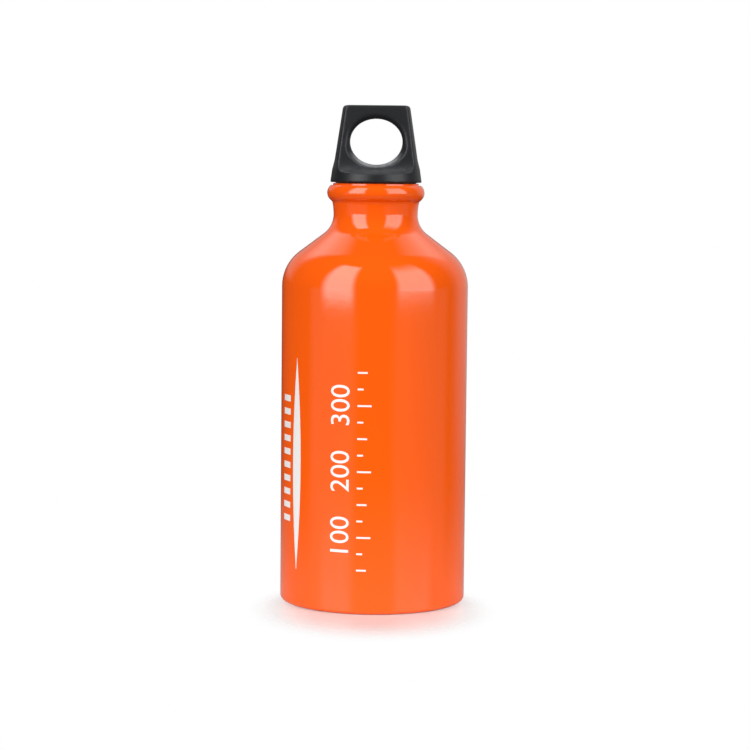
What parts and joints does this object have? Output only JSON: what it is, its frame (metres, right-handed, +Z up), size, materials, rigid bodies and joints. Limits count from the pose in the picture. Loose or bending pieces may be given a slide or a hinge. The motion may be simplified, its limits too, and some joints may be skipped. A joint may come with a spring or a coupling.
{
  "type": "camping fuel bottle",
  "caption": "Painted aluminium fuel bottle with a hollow cylindrical body, sloping shoulder, beaded neck and a black screw cap with a finger loop.",
  "frame": {"origin": "centre of the base, on the surface that the bottle stands on", "axes": "+Z up along the bottle's axis, X across the loop of the cap, Y through the finger hole, front at -Y"},
  "size_m": [0.073, 0.073, 0.1945],
  "materials": {
    "orange_enamel": "glossy stoved orange enamel on aluminium",
    "bare_aluminium": "turned and threaded, satin",
    "black_polypropylene": "injection moulded with a fine satin grain",
    "nitrile_rubber": "smooth moulded rubber"
  },
  "bodies": {
    "bottle": {"bottle_shell": "orange_enamel", "neck_thread_ring": "bare_aluminium"},
    "seal": {"cap_o_ring": "nitrile_rubber"},
    "cap": {"screw_cap": "black_polypropylene"}
  },
  "joints": [
    {"name": "cap_lift", "type": "slide", "parent": "bottle", "child": "seal", "axis": [0, 0, 1], "range_m": [0, 0.028]},
    {"name": "cap_turn", "type": "hinge", "parent": "seal", "child": "cap", "pos_m": [0, 0, 0.1645], "axis": [0, 0, 1], "range_deg": [0, 2520]}
  ],
  "couplings": [
    {"joint": "cap_lift", "follows": "cap_turn", "m_per_rad": 0.00063662}
  ]
}
